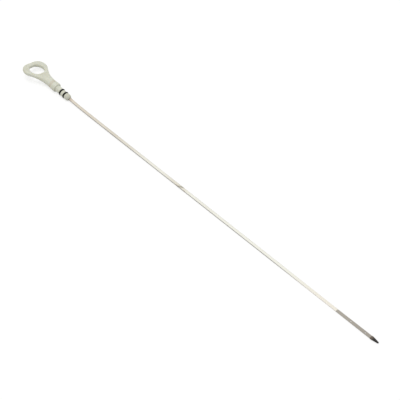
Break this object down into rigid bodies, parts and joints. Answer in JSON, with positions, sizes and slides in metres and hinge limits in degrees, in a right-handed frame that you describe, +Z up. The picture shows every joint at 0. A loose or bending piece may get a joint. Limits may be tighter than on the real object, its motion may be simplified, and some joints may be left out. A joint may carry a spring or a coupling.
{
  "type": "engine oil dipstick",
  "caption": "Long flat steel oil level strip with an oval finger loop handle, a sealed spigot and a black guide tip.",
  "frame": {"origin": "on the handle's axis, in the collar's face that seats on the tube's mouth", "axes": "+X along the strip toward the tip, level, +Z up with the part lying at rest, +Y completes the frame"},
  "size_m": [0.613, 0.0336, 0.015],
  "materials": {
    "natural_nylon": "satin",
    "seal_rubber": "matt",
    "strip_steel": "satin",
    "tip_plastic": "satin"
  },
  "bodies": {
    "root": {"handle": "natural_nylon", "upper_o_ring": "seal_rubber", "lower_o_ring": "seal_rubber", "stick": "strip_steel", "tip": "tip_plastic"}
  },
  "joints": []
}
